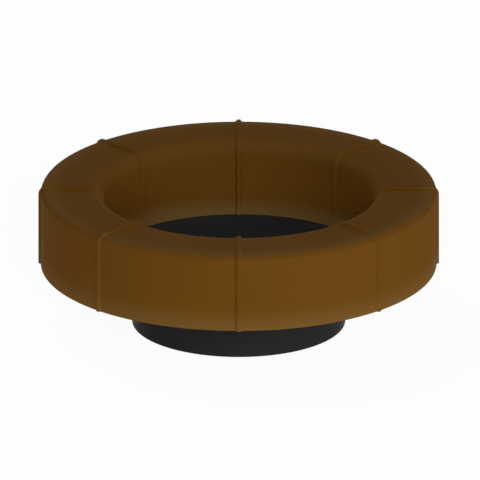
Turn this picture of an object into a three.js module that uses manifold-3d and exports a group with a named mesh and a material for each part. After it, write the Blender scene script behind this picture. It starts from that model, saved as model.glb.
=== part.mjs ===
// Toilet pan seal: a ring of soft wax cast on the flange of a plastic sleeve. Millimetres, +Z up.
// The seal stands on the sleeve's lower rim, and the origin is the centre of that rim.

import * as THREE from "three";
import { mergeVertices } from "three/addons/utils/BufferGeometryUtils.js";
import Module from "manifold-3d";

// Wax ring
const boreDiameter = 90.6; // across the inner wall, level with the ring's underside
const boreDraft = 0.6; // how far the inner wall leans outwards from underside to top
const waxWidth = 21.2; // from the bore to the outer wall, at the underside
const waxHeight = 26.7;
const outerRounding = 2.1;
const innerRounding = 3.5;

// Mould ribs on the wax: round beads, mostly sunk in its surface
const ribCount = 8;
const ribDiameter = 1.9;
const ribRise = 0.78; // how far a bead stands proud

// Plastic sleeve
const tubeDiameter = 71.7; // outside
const tubeLength = 9.8; // the straight part, from the lower rim to the funnel
const plasticWall = 1.2;
const funnelSlope = 45; // degrees from level
const funnelShow = 0.25; // where the line of the bore meets the funnel, above the wax's underside
const funnelBend = 1; // radius under the bends at both ends of the funnel
const flangeCover = 2; // depth of wax below the flange
const flangeGrip = 9.2; // how far the flange reaches into the wax, past the funnel's mouth

// Gap from the wax to the plastic's cone and edge. The flange's two flat faces touch the wax.
const clearance = 0.3;

// How finely round forms are cut into flats
const flatsPerTurn = 72;
const flatsPerRounding = 4;
const flatsPerBead = 10;

// Radii
const boreFoot = boreDiameter / 2;
const boreMouth = boreFoot + boreDraft;
const waxOutside = boreFoot + waxWidth;
const tubeOutside = tubeDiameter / 2;
const tubeInside = tubeOutside - plasticWall;
const slope = THREE.MathUtils.degToRad(funnelSlope);
const funnelMouth = boreFoot + (flangeCover + plasticWall - funnelShow) / Math.tan(slope);
const flangeOutside = funnelMouth + flangeGrip;

// Heights, from the lower rim up
const throat = tubeLength + plasticWall * Math.tan((Math.PI / 2 - slope) / 2);
const flangeTop = throat + (funnelMouth - tubeInside) * Math.tan(slope);
const flangeUnderside = flangeTop - plasticWall;
const waxUnderside = flangeUnderside - flangeCover;
const waxTop = waxUnderside + waxHeight;

// A cone that runs beside the funnel's inside face, at a distance below it: its radius at a
// height, and its height at a radius.
const coneRadius = (height, below) =>
  funnelMouth - (flangeTop - height) / Math.tan(slope) + below / Math.sin(slope);
const coneHeight = (radius, below) =>
  flangeTop - (funnelMouth - radius) * Math.tan(slope) - below / Math.cos(slope);

// One corner of a section: its distance from the axis, its height and how far it is rounded.
const corner = (radius, height, rounding = 0) => ({ at: new THREE.Vector2(radius, height), rounding });

// The arc that rounds a corner between its two neighbours, or the corner itself if it is sharp.
function rounded({ at, rounding }, before, after) {
  if (rounding <= 0) return [at];
  const back = before.at.clone().sub(at).normalize();
  const onward = after.at.clone().sub(at).normalize();
  const halfAngle = Math.acos(back.dot(onward)) / 2;
  const centre = back.clone().add(onward).setLength(rounding / Math.sin(halfAngle)).add(at);
  const start = back.multiplyScalar(rounding / Math.tan(halfAngle)).add(at).sub(centre);
  const end = onward.multiplyScalar(rounding / Math.tan(halfAngle)).add(at).sub(centre);
  const step = Math.atan2(start.cross(end), start.dot(end)) / flatsPerRounding;
  const axis = new THREE.Vector2();
  return Array.from({ length: flatsPerRounding + 1 }, (_, i) =>
    start.clone().rotateAround(axis, i * step).add(centre));
}

// The points along a row of corners. An open row's first and last corners stay sharp.
function lineThrough(corners, closed) {
  const count = corners.length;
  return corners.flatMap((each, i) => {
    if (!closed && (i === 0 || i === count - 1)) return [each.at];
    return rounded(each, corners[(i + count - 1) % count], corners[(i + 1) % count]);
  });
}

// A closed section turned about Z. Its corners run anticlockwise, with the axis on their left.
function turned(corners) {
  const line = lineThrough(corners, true);
  return new THREE.LatheGeometry([...line, line[0]], flatsPerTurn).rotateX(Math.PI / 2);
}

const wasm = await Module();
wasm.setup();

function solidOf(geometry) {
  const bare = geometry.clone();
  bare.deleteAttribute("normal");
  bare.deleteAttribute("uv");
  const merged = mergeVertices(bare, 1e-4);
  const vertProperties = new Float32Array(merged.attributes.position.array);
  const triVerts = new Uint32Array(merged.index.array);
  return new wasm.Manifold(new wasm.Mesh({ numProp: 3, vertProperties, triVerts }));
}

function geometryOf(solid) {
  const { vertProperties, triVerts } = solid.getMesh();
  const geometry = new THREE.BufferGeometry();
  geometry.setAttribute("position", new THREE.BufferAttribute(vertProperties, 3));
  geometry.setIndex(new THREE.BufferAttribute(triVerts, 1));
  geometry.computeVertexNormals();
  return geometry;
}

// Plastic sleeve: straight tube, funnel and flat flange, moulded with an even wall.
function sleeveGeometry() {
  const outerBend = funnelBend;
  const innerBend = funnelBend + plasticWall;
  return turned([
    corner(tubeInside, 0),
    corner(tubeOutside, 0),
    corner(tubeOutside, tubeLength, outerBend),
    corner(coneRadius(flangeUnderside, plasticWall), flangeUnderside, outerBend),
    corner(flangeOutside, flangeUnderside),
    corner(flangeOutside, flangeTop),
    corner(funnelMouth, flangeTop, innerBend),
    corner(tubeInside, throat, innerBend),
  ]);
}

// The corners that run round the wax from its outer foot, over the top, to its inner foot, all
// at a depth below the surface.
function waxOutline(depth) {
  return [
    corner(waxOutside - depth, waxUnderside),
    corner(waxOutside - depth, waxTop - depth, outerRounding - depth),
    corner(boreMouth + depth, waxTop - depth, innerRounding - depth),
    corner(boreFoot + depth, waxUnderside),
  ];
}

// The line that the middle of a bead follows, in the plane of the ring's front. It is sampled
// at the section's own points, so a bead bends where the surface under it does.
class BeadLine extends THREE.Curve {
  constructor(points) {
    super();
    this.points = points;
    this.spans = points.length - 1;
  }

  getPoint(t, target = new THREE.Vector3()) {
    const place = THREE.MathUtils.clamp(t, 0, 1) * this.spans;
    const first = Math.min(Math.floor(place), this.spans - 1);
    const { x: radius, y: height } = this.points[first].clone().lerp(this.points[first + 1], place - first);
    return target.set(0, -radius, height);
  }

  getPointAt(u, target) {
    return this.getPoint(u, target);
  }

  getTangentAt(u, target) {
    return this.getTangent(u, target);
  }
}

function beadGeometry() {
  const line = new BeadLine(lineThrough(waxOutline(ribDiameter / 2 - ribRise), false));
  const section = new THREE.Shape().absarc(0, 0, ribDiameter / 2, 0, 2 * Math.PI);
  return new THREE.ExtrudeGeometry(section, {
    steps: line.spans,
    curveSegments: flatsPerBead,
    extrudePath: line,
  });
}

// The room that the wax leaves for the sleeve: the flange and the funnel, and all that lies
// inside the funnel down to below the wax.
function seatGeometry() {
  const seatFloor = throat;
  return turned([
    corner(tubeOutside, seatFloor),
    corner(coneRadius(seatFloor, plasticWall + clearance), seatFloor),
    corner(coneRadius(flangeUnderside, plasticWall + clearance), flangeUnderside, funnelBend - clearance),
    corner(flangeOutside + clearance, flangeUnderside),
    corner(flangeOutside + clearance, flangeTop),
    corner(coneRadius(flangeTop, -clearance), flangeTop, funnelBend + plasticWall + clearance),
    corner(tubeOutside, coneHeight(tubeOutside, -clearance)),
  ]);
}

function waxGeometry() {
  const bead = beadGeometry();
  let wax = solidOf(turned(waxOutline(0)));
  for (let i = 0; i < ribCount; i += 1) {
    const placed = bead.clone().rotateZ((i * 2 * Math.PI) / ribCount);
    wax = wax.add(solidOf(placed));
  }
  return geometryOf(wax.subtract(solidOf(seatGeometry())));
}

const waxMaterial = new THREE.MeshStandardMaterial({ color: 0x6b4516, roughness: 0.62, metalness: 0 });
const sleeveMaterial = new THREE.MeshStandardMaterial({ color: 0x1c1c1c, roughness: 0.5, metalness: 0 });

function piece(name, geometry, material) {
  const mesh = new THREE.Mesh(geometry, material);
  mesh.name = name;
  return mesh;
}

const seal = new THREE.Group();
seal.add(piece("flanged_sleeve", sleeveGeometry(), sleeveMaterial));
seal.add(piece("wax_ring", waxGeometry(), waxMaterial));

export default seal;
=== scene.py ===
from math import cos, hypot, pi, radians, sin, tan

import bpy
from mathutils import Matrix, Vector


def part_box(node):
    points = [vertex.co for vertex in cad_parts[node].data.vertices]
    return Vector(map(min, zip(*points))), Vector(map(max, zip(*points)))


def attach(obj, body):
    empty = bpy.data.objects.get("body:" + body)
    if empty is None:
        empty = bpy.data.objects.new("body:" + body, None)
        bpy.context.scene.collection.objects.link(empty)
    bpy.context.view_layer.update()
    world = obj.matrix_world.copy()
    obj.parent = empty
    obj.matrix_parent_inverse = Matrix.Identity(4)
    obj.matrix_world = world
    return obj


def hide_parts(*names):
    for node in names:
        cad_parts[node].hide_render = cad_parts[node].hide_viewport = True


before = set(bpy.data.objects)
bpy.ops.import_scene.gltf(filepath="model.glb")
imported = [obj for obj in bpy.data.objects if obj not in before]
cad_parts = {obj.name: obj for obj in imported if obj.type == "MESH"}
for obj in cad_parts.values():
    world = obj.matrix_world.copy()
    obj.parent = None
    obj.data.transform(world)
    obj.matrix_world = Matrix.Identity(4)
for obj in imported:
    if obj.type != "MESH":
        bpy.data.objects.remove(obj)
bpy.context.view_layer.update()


# Camera
# It looks down on the seal at a low angle and without perspective, so that nothing narrows towards
# the back. The seal fills most of the picture's width and stands a little below its middle.
CAMERA_RISE = radians(20.17)
CAMERA_DISTANCE = 1.0
PICTURE_WIDTH = 0.1612
AIM = Vector((0.00044, 0, 0.02882))

bpy.ops.object.select_all(action="DESELECT")
bpy.ops.object.camera_add(
    location=AIM + CAMERA_DISTANCE * Vector((0, -cos(CAMERA_RISE), sin(CAMERA_RISE))),
    rotation=(pi / 2 - CAMERA_RISE, 0, 0),
)
camera = bpy.context.object
camera.data.type = "ORTHO"
camera.data.ortho_scale = PICTURE_WIDTH
bpy.context.scene.camera = camera
bpy.context.scene.view_settings.view_transform = "Standard"


# Table
# A wide white sheet that the seal stands on. It looks almost as white as the air behind it, keeps
# a faint trace of the seal's shadow and throws a soft light up at the seal. Seen from below it
# isn't there.
TABLE_RADIUS = 1.5
TABLE_EDGE = 0.03
TABLE_SIDES = 96
TABLE_WHITE = (0.8, 0.8, 0.8, 1)
WHITE = (1, 1, 1, 1)
TABLE_GLOW = 0.52
TABLE_GLARE = 0.9
MIX_FIRST_COLOUR = 6
MIX_SECOND_COLOUR = 7
MIX_RESULT = 2


class Field:
    """A socket of a material's nodes. Arithmetic on it adds the Math nodes for it."""

    def __init__(self, tree, socket=None):
        self.tree = tree
        self.socket = socket

    def node(self, kind, settings=None, sockets=None, output=0):
        """Adds a node, gives it its settings and then its sockets, and returns an output. A
        socket goes by its name, or by its number where several share a name."""
        made = self.tree.nodes.new(kind)
        for name, value in (settings or {}).items():
            setattr(made, name, value)
        for name, value in (sockets or {}).items():
            if isinstance(value, Field):
                self.tree.links.new(value.socket, made.inputs[name])
            else:
                made.inputs[name].default_value = value
        return Field(self.tree, made.outputs[output] if made.outputs else None)

    def math(self, operation, first, second):
        """A Math node's result."""
        return self.node("ShaderNodeMath", {"operation": operation}, {0: first, 1: second})

    def mix(self, share, first, second):
        """The first colour, with a share of the second one laid over it."""
        sockets = {"Factor": share, MIX_FIRST_COLOUR: first, MIX_SECOND_COLOUR: second}
        return self.node("ShaderNodeMix", {"data_type": "RGBA"}, sockets, MIX_RESULT)

    def fade(self, value, start, end, most=1.0):
        """Rises smoothly from 0 where the value is at the start to the most at the end."""
        settings = {"interpolation_type": "SMOOTHSTEP"}
        sockets = {"Value": value, "From Min": start, "From Max": end, "To Min": 0.0, "To Max": most}
        return self.node("ShaderNodeMapRange", settings, sockets)

    def noise(self, place, scale, detail):
        """A soft random pattern between 0 and 1. A larger scale makes it finer."""
        sockets = {"Vector": place, "Scale": scale, "Detail": detail}
        return self.node("ShaderNodeTexNoise", None, sockets)

    def __add__(self, other):
        return self.math("ADD", self, other)

    def __radd__(self, other):
        return self.math("ADD", other, self)

    def __sub__(self, other):
        return self.math("SUBTRACT", self, other)

    def __rsub__(self, other):
        return self.math("SUBTRACT", other, self)

    def __mul__(self, other):
        return self.math("MULTIPLY", self, other)

    def __rmul__(self, other):
        return self.math("MULTIPLY", other, self)


def new_material(name):
    """A material with no nodes, and the field that adds nodes to it."""
    material = bpy.data.materials.new(name)
    material.use_nodes = True
    material.node_tree.nodes.clear()
    return material, Field(material.node_tree)


def looked_at(paint):
    """1 where the camera sees a surface itself, or sees it in gloss or through glass."""
    rays = "ShaderNodeLightPath"
    by_camera = paint.node(rays, output="Is Camera Ray")
    by_gloss = paint.node(rays, output="Is Glossy Ray")
    through_glass = paint.node(rays, output="Is Transmission Ray")
    return by_camera + by_gloss + through_glass


def table_material():
    """A glowing white sheet, almost plain white where it is looked at, and clear from below."""
    material, paint = new_material("white_table")
    lit = paint.node("ShaderNodeBsdfDiffuse", None, {"Color": TABLE_WHITE})
    glow = paint.node("ShaderNodeEmission", None, {"Color": WHITE, "Strength": TABLE_GLOW})
    sheen = paint.node("ShaderNodeAddShader", None, {0: lit, 1: glow})
    glare = paint.node("ShaderNodeEmission", None, {"Color": WHITE, "Strength": 1.0})
    share = TABLE_GLARE * looked_at(paint)
    above = paint.node("ShaderNodeMixShader", None, {"Fac": share, 1: sheen, 2: glare})
    below = paint.node("ShaderNodeBsdfTransparent")
    from_below = paint.node("ShaderNodeNewGeometry", output="Backfacing")
    sheet = paint.node("ShaderNodeMixShader", None, {"Fac": from_below, 1: above, 2: below})
    paint.node("ShaderNodeOutputMaterial", None, {"Surface": sheet})
    return material


bpy.ops.object.select_all(action="DESELECT")
bpy.ops.mesh.primitive_circle_add(vertices=TABLE_SIDES, radius=TABLE_RADIUS, fill_type="NGON")
table = bpy.context.object
table.name = "table"
bpy.ops.object.mode_set(mode="EDIT")
bpy.ops.mesh.select_all(action="SELECT")
bpy.ops.mesh.inset(thickness=TABLE_EDGE)
bpy.ops.object.mode_set(mode="OBJECT")
table.data.materials.append(table_material())


# Lamps
# Soft boxes in front of the seal and on its right, one high behind on the left, and two weak ones
# that light its back. The room is white where it is seen, also in gloss, and gives no other light.
LAMP_DISTANCE = 1.2
LAMP_TARGET = Vector((0, 0, 0.03))
WIDE = 0.4
NARROW = 0.25


def soft_box(name, turn, rise, size, watts):
    """A square lamp. Its turn, in degrees, is from the camera's side towards the right, and its
    rise is from level."""
    turn, rise = radians(turn), radians(rise)
    towards = Vector((sin(turn) * cos(rise), -cos(turn) * cos(rise), sin(rise)))
    bpy.ops.object.light_add(
        type="AREA",
        location=LAMP_TARGET + LAMP_DISTANCE * towards,
        rotation=towards.to_track_quat("Z", "Y").to_euler(),
    )
    lamp = bpy.context.object
    lamp.name = name
    lamp.data.size = size
    lamp.data.energy = watts


soft_box("front", turn=0, rise=20, size=WIDE, watts=5.3)
soft_box("front_right", turn=45, rise=20, size=WIDE, watts=2.25)
soft_box("low_front_right", turn=45, rise=5, size=NARROW, watts=1.05)
soft_box("low_right", turn=90, rise=5, size=NARROW, watts=2.15)
soft_box("high_rear_left", turn=-135, rise=65, size=WIDE, watts=3.3)
soft_box("rear_left", turn=-135, rise=20, size=WIDE, watts=1.0)
soft_box("rear", turn=180, rise=20, size=WIDE, watts=1.15)


def light_room():
    """A world that is white where it is looked at, also in gloss, and gives no other light."""
    room = bpy.data.worlds.new("white_room")
    bpy.context.scene.world = room
    room.use_nodes = True
    room.node_tree.nodes.clear()
    paint = Field(room.node_tree)
    brightness = looked_at(paint)
    light = paint.node("ShaderNodeBackground", None, {"Color": WHITE, "Strength": brightness})
    paint.node("ShaderNodeOutputWorld", None, {"Surface": light})


light_room()


# Flanged sleeve
# One moulding of black polyethylene with an even wall: a short straight tube that hangs in the
# waste pipe, a funnel above it, and a flat flange that the wax is cast round.
sleeve_low, sleeve_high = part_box("flanged_sleeve")
PLASTIC_WALL = 0.0012
TUBE_OUTSIDE = 0.03585
TUBE_LENGTH = 0.0098
FUNNEL_SLOPE = radians(45)
FUNNEL_MOUTH = 0.04825
FUNNEL_BEND = 0.001
RIM_ROUNDING = 0.0003
FLANGE_TOP = sleeve_high.z
FLANGE_UNDERSIDE = FLANGE_TOP - PLASTIC_WALL
FLANGE_OUTSIDE = sleeve_high.x
PLASTIC_DARK = (0.0196, 0.0196, 0.0198, 1)
PLASTIC_PALE = (0.0258, 0.0258, 0.0260, 1)
# Painted light: the funnel and flange, seen down the bore, are painted paler than the tube.
PLASTIC_PAINTED_LIGHT = (0.0345, 0.0345, 0.0345, 1)
PAINTED_LIGHT_FADE = 0.003
PLASTIC_ROUGHNESS = 0.36
SPECK_ROUGHNESS = 0.12
PLASTIC_GLOSS = 0.01
PLASTIC_CLOUDS = 60
PLASTIC_CLOUD_DETAIL = 4.0
PLASTIC_SPECKS = 900
PLASTIC_SPECK_DETAIL = 2.0
SPECK_HEIGHT = 0.25
PLASTIC_BUMP = 0.25
BUMP_DEPTH = 0.0001
SEAL_CENTRE = (0, 0, 0)
SEAL_AXIS = (0, 0, 1)
SLEEVE_STEPS = 144
ROUNDING_STEPS = 6
SMOOTH_UP_TO = radians(40)
TOUCHING = 1e-6


def funnel_radius(height, below):
    """The radius, at a height, of a cone that runs at a distance below the funnel's inside."""
    return FUNNEL_MOUTH - (FLANGE_TOP - height) / tan(FUNNEL_SLOPE) + below / sin(FUNNEL_SLOPE)


def select_where(piece, test):
    """In edit mode, selects the points of a piece whose place passes a test."""
    bpy.ops.object.mode_set(mode="OBJECT")
    mesh = piece.data
    for point in mesh.vertices:
        point.select = test(point.co)
    for part in [*mesh.edges, *mesh.polygons]:
        part.select = all(mesh.vertices[i].select for i in part.vertices)
    bpy.ops.object.mode_set(mode="EDIT")
    bpy.ops.mesh.select_mode(type="VERT")


def near(place):
    """A test for points that are at a place."""
    return lambda point: (point - place).length < TOUCHING


def draw_section(name, corners, closed):
    """A new piece, still only a line in the seal's front plane, and left in edit mode. A corner
    is its distance from the seal's axis, its height and how far it is rounded. The line is drawn
    out of a small plane that is merged into one point."""
    bpy.ops.object.select_all(action="DESELECT")
    bpy.ops.mesh.primitive_plane_add(size=PLASTIC_WALL)
    piece = bpy.context.object
    piece.name = name
    places = [Vector((0, -radius, height)) for radius, height, _ in corners]
    bpy.ops.object.mode_set(mode="EDIT")
    bpy.ops.mesh.select_all(action="SELECT")
    bpy.ops.mesh.merge(type="CENTER")
    bpy.ops.transform.translate(value=places[0])
    for start, end in zip(places, places[1:]):
        bpy.ops.mesh.extrude_region_move(TRANSFORM_OT_translate={"value": end - start})
    if closed:
        select_where(piece, lambda point: near(places[0])(point) or near(places[-1])(point))
        bpy.ops.mesh.edge_face_add()
    for i, (_, _, rounding) in enumerate(corners):
        if rounding:
            back = places[i - 1] - places[i]
            onward = places[(i + 1) % len(places)] - places[i]
            select_where(piece, near(places[i]))
            bpy.ops.mesh.bevel(
                offset=rounding / tan(back.angle(onward) / 2),
                segments=ROUNDING_STEPS,
                affect="VERTICES",
                offset_type="OFFSET",
            )
    bpy.ops.mesh.select_all(action="SELECT")
    return piece


def sleeve_material():
    """Black moulded plastic: satin, very slightly rippled, and paler in the funnel, where light is
    painted in.
    """
    material, paint = new_material("black_moulded_plastic")
    place = paint.node("ShaderNodeTexCoord", output="Object")
    height = paint.node("ShaderNodeSeparateXYZ", None, {"Vector": place}, output="Z")
    cloud = paint.noise(place, PLASTIC_CLOUDS, PLASTIC_CLOUD_DETAIL)
    speck = paint.noise(place, PLASTIC_SPECKS, PLASTIC_SPECK_DETAIL)
    # Painted light: paler from the top of the tube upwards, over the funnel and flange.
    painted_light = paint.fade(height, TUBE_LENGTH, TUBE_LENGTH + PAINTED_LIGHT_FADE)
    clean = paint.mix(cloud, PLASTIC_DARK, PLASTIC_PALE)
    ripple = cloud + SPECK_HEIGHT * speck
    bump = {"Strength": PLASTIC_BUMP, "Distance": BUMP_DEPTH, "Height": ripple}
    sockets = {
        "Base Color": paint.mix(painted_light, clean, PLASTIC_PAINTED_LIGHT),
        "Roughness": PLASTIC_ROUGHNESS + SPECK_ROUGHNESS * speck,
        "Specular IOR Level": PLASTIC_GLOSS,
        "Normal": paint.node("ShaderNodeBump", None, bump),
    }
    plastic = paint.node("ShaderNodeBsdfPrincipled", None, sockets)
    paint.node("ShaderNodeOutputMaterial", None, {"Surface": plastic})
    return material


throat = TUBE_LENGTH + PLASTIC_WALL * tan((pi / 2 - FUNNEL_SLOPE) / 2)
sleeve = draw_section(
    "moulded_sleeve",
    [
        (TUBE_OUTSIDE - PLASTIC_WALL, sleeve_low.z, RIM_ROUNDING),
        (TUBE_OUTSIDE, sleeve_low.z, RIM_ROUNDING),
        (TUBE_OUTSIDE, TUBE_LENGTH, FUNNEL_BEND),
        (funnel_radius(FLANGE_UNDERSIDE, PLASTIC_WALL), FLANGE_UNDERSIDE, FUNNEL_BEND),
        (FLANGE_OUTSIDE, FLANGE_UNDERSIDE, RIM_ROUNDING),
        (FLANGE_OUTSIDE, FLANGE_TOP, RIM_ROUNDING),
        (FUNNEL_MOUTH, FLANGE_TOP, FUNNEL_BEND + PLASTIC_WALL),
        (TUBE_OUTSIDE - PLASTIC_WALL, throat, FUNNEL_BEND + PLASTIC_WALL),
    ],
    closed=True,
)
bpy.ops.mesh.spin(steps=SLEEVE_STEPS, angle=2 * pi, center=SEAL_CENTRE, axis=SEAL_AXIS)
bpy.ops.mesh.select_all(action="SELECT")
bpy.ops.mesh.remove_doubles(threshold=TOUCHING)
bpy.ops.mesh.normals_make_consistent(inside=False)
bpy.ops.object.mode_set(mode="OBJECT")
bpy.ops.object.shade_smooth_by_angle(angle=SMOOTH_UP_TO)
sleeve.data.materials.append(sleeve_material())
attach(sleeve, "root")
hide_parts("flanged_sleeve")


# Wax ring
# One casting of soft amber-brown petroleum wax, poured in a mould round the sleeve's flange. The
# mould leaves eight round beads that run up the outer wall, over the top and down the bore.
wax_low, wax_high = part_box("wax_ring")
BEAD_COUNT = 8
BEAD_RISE = 0.00078
BEAD_SWELL = 0.0002
BEAD_HALF_WIDTH = 0.00094
SWELL_HALF_WIDTH = 0.0016
BEAD_REACH = radians(2.2)
BEAD_STEPS = 14
PLAIN_STEPS = 20
WAX_OUTSIDE = wax_high.x - BEAD_RISE
WAX_TOP = wax_high.z - BEAD_RISE
WAX_UNDERSIDE = wax_low.z
BORE_FOOT = 0.0453
BORE_MOUTH = 0.0459
OUTER_ROUNDING = 0.0021
INNER_ROUNDING = 0.0035
CLING_GAP = 0.0003
LIP_WIDTH = 0.0005
PAST_LIP = 1.5 * LIP_WIDTH
WAX_DEEP = (0.134, 0.0525, 0.0056, 1)
WAX_PALE = (0.150, 0.0640, 0.0082, 1)
WAX_ROUGHNESS = 0.6
GRAIN_ROUGHNESS = 0.15
WAX_GLOSS = 0.008
WAX_CLOUDS = 28
WAX_GRAIN = 700
WAX_DETAIL = 3.0
WAX_BUMP = 0.15
CLOUD_HEIGHT = 2
FLAT = (1, 1, 0)

# The pale painted light round the foot of the outer wall, round the foot of the bore and on the
# rounding at the bore's mouth: a painted sheen, not a colour that the wax has. Its borders wander
# a little with the clouds. A share is how much of its colour shows where it is strongest.
FOOT_AND_MOUTH_PAINTED_LIGHT = (0.47, 0.385, 0.165, 1)
FOOT_PAINTED_LIGHT_HEIGHT = 0.0085
PAINTED_LIGHT_WANDER = 0.003
CLOUD_MIDDLE = 0.5
OUTER_FOOT_FULL = -0.001
OUTER_FOOT_SHARE = 0.09
INNER_FOOT_FULL = 0.001
INNER_FOOT_SHARE = 0.1
BORE_WALL_OUTSIDE = 0.002
BORE_WALL_INSIDE = 0.0005
MOUTH_OUTSIDE = INNER_ROUNDING + 0.001
MOUTH_INSIDE = 0.5 * INNER_ROUNDING
MOUTH_DEPTH = 0.006
MOUTH_FULL_DEPTH = 0.0025
MOUTH_SHARE = 0.03

# The painted light on the outer margin of the top: a pale painted haze, not a colour that the wax
# has. It stops on the outer rounding.
EDGE_PAINTED_LIGHT = (0.44, 0.405, 0.2, 1)
EDGE_PAINTED_LIGHT_WIDTH = 0.008
EDGE_PAINTED_LIGHT_FULL = 0.0013
EDGE_PAINTED_LIGHT_SHARE = 0.055
EDGE_STOP = 0.0002
EDGE_STOP_START = 0.0016

# The bore's wall leans outwards, and stops where it meets the cone just above the funnel.
lean = (BORE_MOUTH - BORE_FOOT) / (WAX_TOP - WAX_UNDERSIDE)
cone_start = funnel_radius(WAX_UNDERSIDE, -CLING_GAP)
lip_height = WAX_UNDERSIDE + (BORE_FOOT - cone_start) / (1 / tan(FUNNEL_SLOPE) - lean)
lip_radius = funnel_radius(lip_height, -CLING_GAP)


def spin_between_beads():
    """Spins a line about the seal's axis, with fine steps at each bead and coarse ones between."""
    plain = 2 * pi / BEAD_COUNT - 2 * BEAD_REACH
    for _ in range(BEAD_COUNT):
        for steps, angle in [(BEAD_STEPS, BEAD_REACH), (PLAIN_STEPS, plain), (BEAD_STEPS, BEAD_REACH)]:
            bpy.ops.mesh.spin(steps=steps, angle=angle, center=SEAL_CENTRE, axis=SEAL_AXIS)
    bpy.ops.mesh.select_all(action="SELECT")
    bpy.ops.mesh.remove_doubles(threshold=TOUCHING)


def on_bead_line(point):
    """Whether a point is on the middle line of a bead, which all lie on straight lines through
    the axis that are an eighth of a turn apart."""
    across = min(abs(point.x), abs(point.y), abs(abs(point.x) - abs(point.y)))
    return across < TOUCHING


def swell(rise, half_width, falloff):
    """Raises the selected points and, less and less, what lies within the half width of them."""
    bpy.ops.transform.shrink_fatten(
        value=-rise,
        use_proportional_edit=True,
        proportional_edit_falloff=falloff,
        proportional_size=half_width,
        use_proportional_connected=False,
    )


def wax_material():
    """Amber-brown wax: faintly clouded, soft and nearly dull, with paler painted light round its two
    feet, at the bore's mouth and on the outer margin of its top."""
    material, paint = new_material("amber_wax")
    place = paint.node("ShaderNodeTexCoord", output="Object")
    height = paint.node("ShaderNodeSeparateXYZ", None, {"Vector": place}, output="Z")
    multiply = {"operation": "MULTIPLY"}
    from_axis = paint.node("ShaderNodeVectorMath", multiply, {0: place, 1: FLAT})
    length = {"operation": "LENGTH"}
    radius = paint.node("ShaderNodeVectorMath", length, {0: from_axis}, output="Value")
    cloud = paint.noise(place, WAX_CLOUDS, WAX_DETAIL)
    grain = paint.noise(place, WAX_GRAIN, WAX_DETAIL)
    wander = PAINTED_LIGHT_WANDER * (cloud - CLOUD_MIDDLE)

    # Masks of the painted light, which is paler towards both feet and at the bore's mouth.
    foot = height - WAX_UNDERSIDE + wander
    in_bore = paint.fade(radius, BORE_MOUTH + BORE_WALL_OUTSIDE, BORE_MOUTH + BORE_WALL_INSIDE)
    at_foot = paint.fade(foot, FOOT_PAINTED_LIGHT_HEIGHT, OUTER_FOOT_FULL, OUTER_FOOT_SHARE)
    at_inner_foot = in_bore * paint.fade(foot, FOOT_PAINTED_LIGHT_HEIGHT, INNER_FOOT_FULL, INNER_FOOT_SHARE)
    inwards = paint.fade(radius, BORE_MOUTH + MOUTH_OUTSIDE, BORE_MOUTH + MOUTH_INSIDE)
    upwards = paint.fade(height, WAX_TOP - MOUTH_DEPTH, WAX_TOP - MOUTH_FULL_DEPTH, MOUTH_SHARE)
    # Painted light: paler on the outer margin of the top, stopping on the outer rounding.
    edge_start = WAX_OUTSIDE - EDGE_PAINTED_LIGHT_WIDTH
    edge_full = WAX_OUTSIDE - EDGE_PAINTED_LIGHT_FULL
    to_edge = paint.fade(radius + wander, edge_start, edge_full, EDGE_PAINTED_LIGHT_SHARE)
    before_edge = paint.fade(radius, WAX_OUTSIDE - EDGE_STOP, WAX_OUTSIDE - EDGE_STOP_START)

    body = paint.mix(cloud, WAX_DEEP, WAX_PALE)
    # Painted light: paler near both feet and at the bore's mouth, laid over the clouded body.
    foot_and_mouth = at_foot + at_inner_foot + inwards * upwards
    with_painted_light = paint.mix(foot_and_mouth, body, FOOT_AND_MOUTH_PAINTED_LIGHT)
    bump = {"Strength": WAX_BUMP, "Distance": BUMP_DEPTH, "Height": grain + CLOUD_HEIGHT * cloud}
    sockets = {
        "Base Color": paint.mix(to_edge * before_edge, with_painted_light, EDGE_PAINTED_LIGHT),
        "Roughness": WAX_ROUGHNESS + GRAIN_ROUGHNESS * grain,
        "Specular IOR Level": WAX_GLOSS,
        "Normal": paint.node("ShaderNodeBump", None, bump),
    }
    wax = paint.node("ShaderNodeBsdfPrincipled", None, sockets)
    paint.node("ShaderNodeOutputMaterial", None, {"Surface": wax})
    return material


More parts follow.
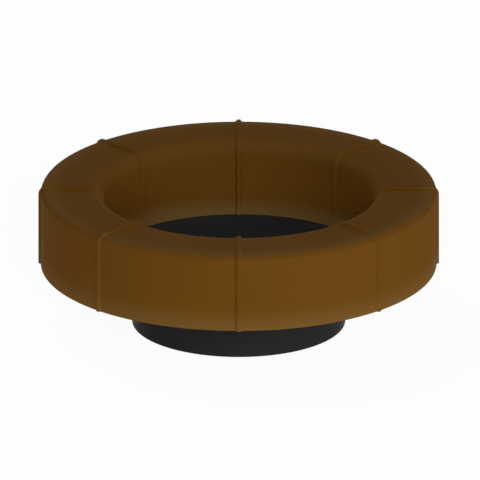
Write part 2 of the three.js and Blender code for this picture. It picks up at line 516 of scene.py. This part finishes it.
# The wax that shows, from the outer foot over the top to the lip on the funnel. Its beads are
# raised while both its edges are still open, so that they end level with them. On such an open
# strip the operator takes the wax's outside for the inside, so this is how the faces point out.
ring = draw_section(
    "cast_wax_ring",
    [
        (WAX_OUTSIDE, WAX_UNDERSIDE, 0),
        (WAX_OUTSIDE, WAX_TOP, OUTER_ROUNDING),
        (BORE_MOUTH, WAX_TOP, INNER_ROUNDING),
        (lip_radius, lip_height, 0),
    ],
    closed=False,
)
spin_between_beads()
bpy.ops.mesh.normals_make_consistent(inside=True)
select_where(ring, on_bead_line)
swell(BEAD_SWELL, SWELL_HALF_WIDTH, "SMOOTH")
swell(BEAD_RISE - BEAD_SWELL, BEAD_HALF_WIDTH, "SPHERE")
bpy.ops.object.mode_set(mode="OBJECT")

# The wax that is out of sight, down the funnel, round the flange and back to the underside.
seat_bend = FUNNEL_BEND + PLASTIC_WALL + CLING_GAP
below_funnel = PLASTIC_WALL + CLING_GAP
seat = draw_section(
    "seat",
    [
        (lip_radius + LIP_WIDTH, lip_height + LIP_WIDTH * tan(FUNNEL_SLOPE), 0),
        (funnel_radius(FLANGE_TOP, -CLING_GAP), FLANGE_TOP, seat_bend),
        (FLANGE_OUTSIDE + CLING_GAP, FLANGE_TOP, 0),
        (FLANGE_OUTSIDE + CLING_GAP, FLANGE_UNDERSIDE, 0),
        (funnel_radius(FLANGE_UNDERSIDE, below_funnel), FLANGE_UNDERSIDE, FUNNEL_BEND - CLING_GAP),
        (funnel_radius(WAX_UNDERSIDE, below_funnel), WAX_UNDERSIDE, 0),
    ],
    closed=False,
)
spin_between_beads()
bpy.ops.mesh.normals_make_consistent(inside=False)
bpy.ops.object.mode_set(mode="OBJECT")

# Both are joined, and the flat underside and the lip close the ring. The lip lies between the two
# edges that are just above the foot and no further out than a little past the lip's width.
bpy.ops.object.select_all(action="DESELECT")
seat.select_set(True)
ring.select_set(True)
bpy.context.view_layer.objects.active = ring
bpy.ops.object.join()
bpy.ops.object.mode_set(mode="EDIT")
select_where(ring, lambda point: abs(point.z - WAX_UNDERSIDE) < TOUCHING)
bpy.ops.mesh.bridge_edge_loops()


def on_lip(point):
    """Whether a point is on one of the two edges that the lip joins."""
    just_above_foot = WAX_UNDERSIDE + TOUCHING < point.z < lip_height + PAST_LIP
    return just_above_foot and hypot(point.x, point.y) < lip_radius + PAST_LIP


select_where(ring, on_lip)
bpy.ops.mesh.bridge_edge_loops()
bpy.ops.mesh.select_all(action="SELECT")
bpy.ops.mesh.normals_make_consistent(inside=False)
bpy.ops.object.mode_set(mode="OBJECT")
bpy.ops.object.shade_smooth_by_angle(angle=SMOOTH_UP_TO)
ring.data.materials.append(wax_material())
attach(ring, "root")
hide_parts("wax_ring")
